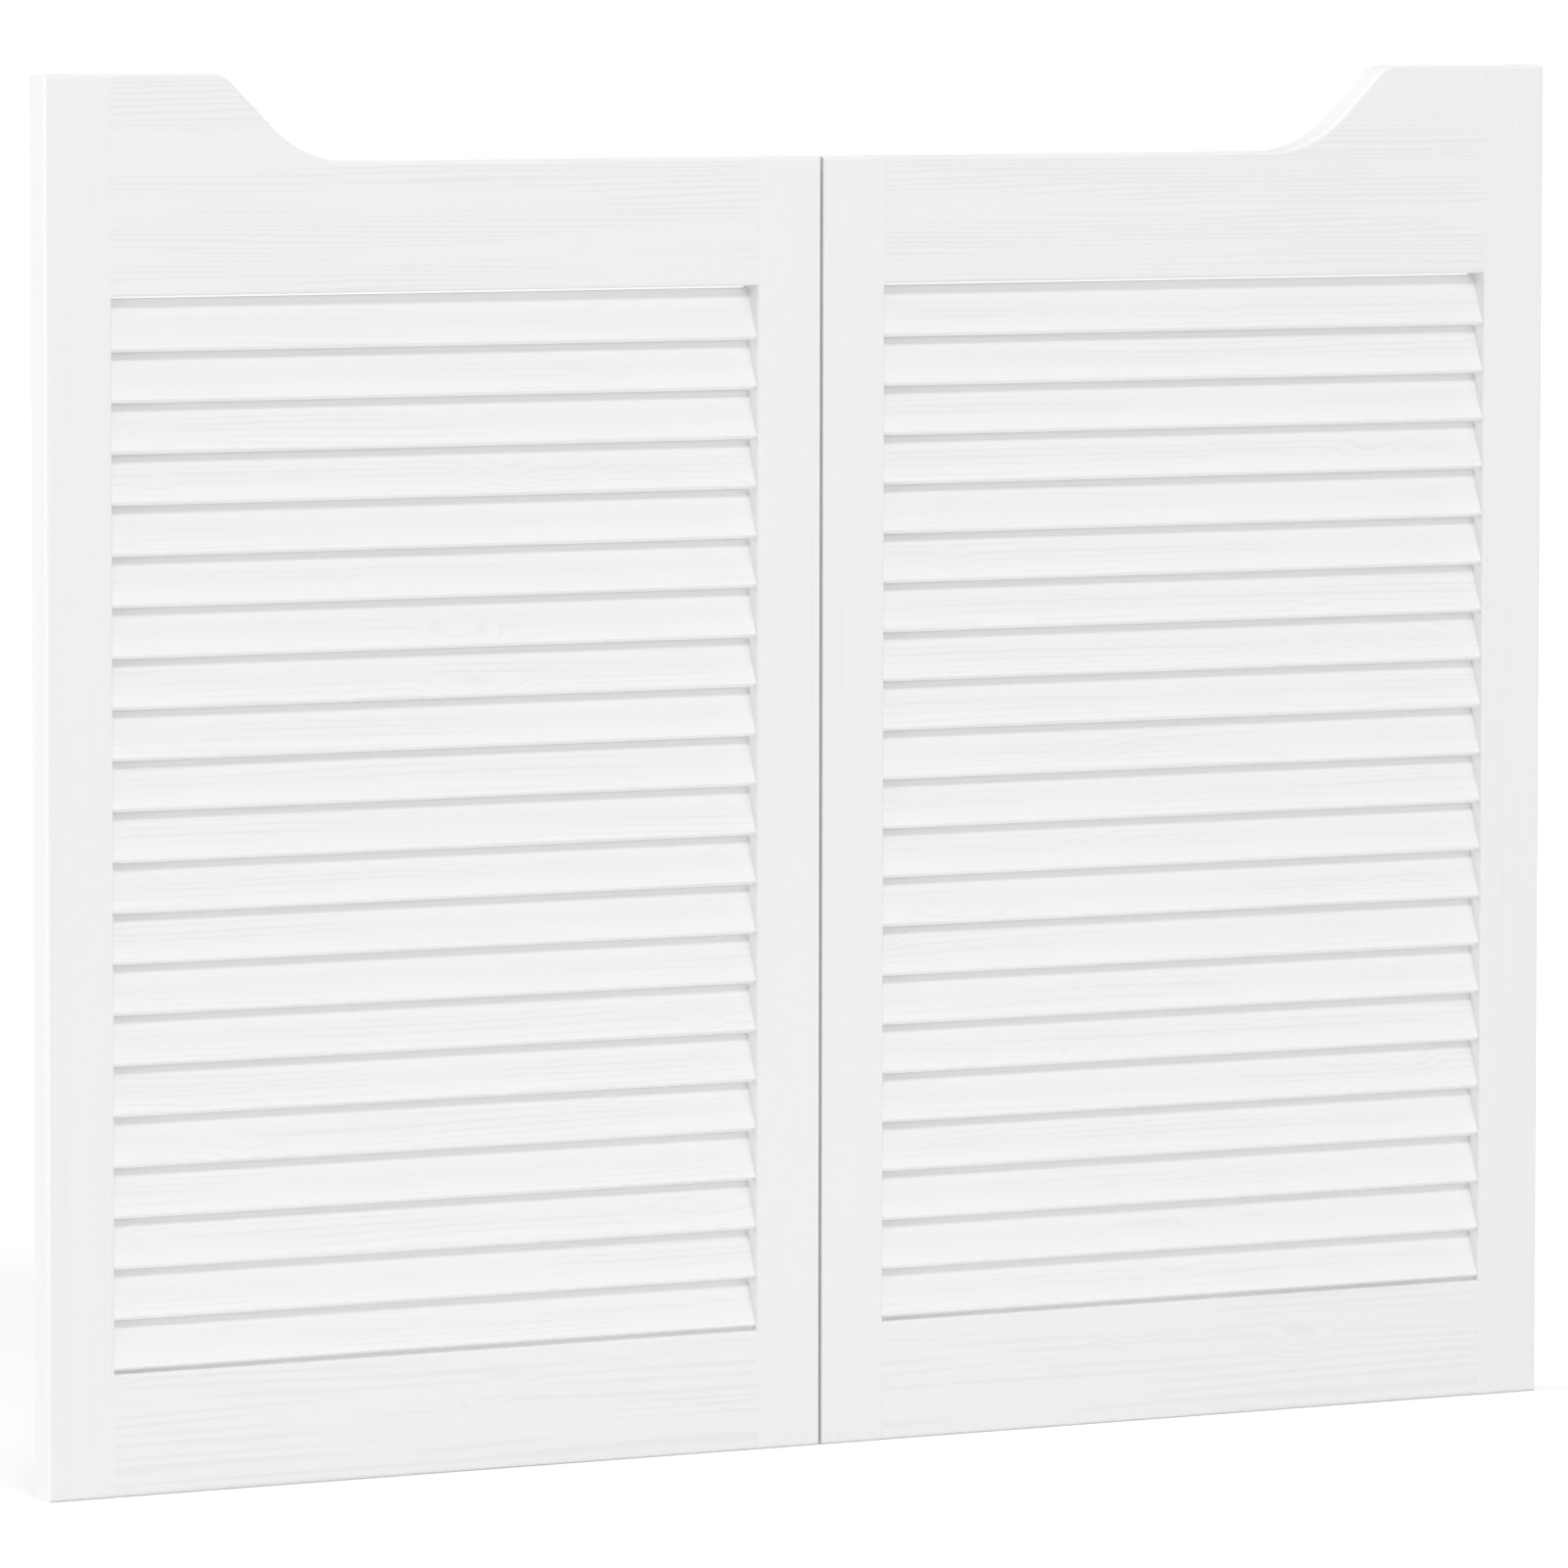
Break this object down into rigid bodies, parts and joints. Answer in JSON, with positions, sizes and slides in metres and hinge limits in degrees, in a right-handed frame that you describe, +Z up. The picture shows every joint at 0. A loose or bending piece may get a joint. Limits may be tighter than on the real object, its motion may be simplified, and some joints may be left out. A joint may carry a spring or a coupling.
{
  "type": "louvred cafe doors",
  "caption": "Pair of white louvred half-height swing doors with ogee top rails; each leaf turns both ways on concealed, self-closing pivots.",
  "frame": {"origin": "half-way across the closed pair, at mid-thickness, at the level of the leaves' lower edge", "axes": "+Z up, +X across the pair from the left leaf to the right leaf as seen from the front, the front faces -Y"},
  "size_m": [1.06, 0.022, 0.85],
  "materials": {
    "painted_pine": "satin white paint on pine, the grain showing through as fine relief",
    "pivot_steel": "ground steel",
    "plated_steel": "zinc-plated steel tube",
    "nylon": "natural moulded nylon"
  },
  "bodies": {
    "pivot_pins": {"left_pivot_pins": "pivot_steel", "right_pivot_pins": "pivot_steel"},
    "left_leaf": {"left_outer_stile": "painted_pine", "left_meeting_stile": "painted_pine", "left_top_rail": "painted_pine", "left_bottom_rail": "painted_pine", "left_spring_cartridge": "plated_steel", "left_upper_bush": "nylon", "left_slat_01": "painted_pine", "left_slat_02": "painted_pine", "left_slat_03": "painted_pine", "left_slat_04": "painted_pine", "left_slat_05": "painted_pine", "left_slat_06": "painted_pine", "left_slat_07": "painted_pine", "left_slat_08": "painted_pine", "left_slat_09": "painted_pine", "left_slat_10": "painted_pine", "left_slat_11": "painted_pine", "left_slat_12": "painted_pine", "left_slat_13": "painted_pine", "left_slat_14": "painted_pine", "left_slat_15": "painted_pine", "left_slat_16": "painted_pine", "left_slat_17": "painted_pine", "left_slat_18": "painted_pine", "left_slat_19": "painted_pine", "left_slat_20": "painted_pine", "left_slat_21": "painted_pine"},
    "right_leaf": {"right_outer_stile": "painted_pine", "right_meeting_stile": "painted_pine", "right_top_rail": "painted_pine", "right_bottom_rail": "painted_pine", "right_spring_cartridge": "plated_steel", "right_upper_bush": "nylon", "right_slat_01": "painted_pine", "right_slat_02": "painted_pine", "right_slat_03": "painted_pine", "right_slat_04": "painted_pine", "right_slat_05": "painted_pine", "right_slat_06": "painted_pine", "right_slat_07": "painted_pine", "right_slat_08": "painted_pine", "right_slat_09": "painted_pine", "right_slat_10": "painted_pine", "right_slat_11": "painted_pine", "right_slat_12": "painted_pine", "right_slat_13": "painted_pine", "right_slat_14": "painted_pine", "right_slat_15": "painted_pine", "right_slat_16": "painted_pine", "right_slat_17": "painted_pine", "right_slat_18": "painted_pine", "right_slat_19": "painted_pine", "right_slat_20": "painted_pine", "right_slat_21": "painted_pine"}
  },
  "joints": [
    {"name": "left_leaf_swing", "type": "hinge", "parent": "pivot_pins", "child": "left_leaf", "pos_m": [-0.516, 0, 0], "axis": [0, 0, 1], "range_deg": [-90, 90], "stiffness_Nm_per_rad": 1.5},
    {"name": "right_leaf_swing", "type": "hinge", "parent": "pivot_pins", "child": "right_leaf", "pos_m": [0.516, 0, 0], "axis": [0, 0, 1], "range_deg": [-90, 90], "stiffness_Nm_per_rad": 1.5}
  ]
}
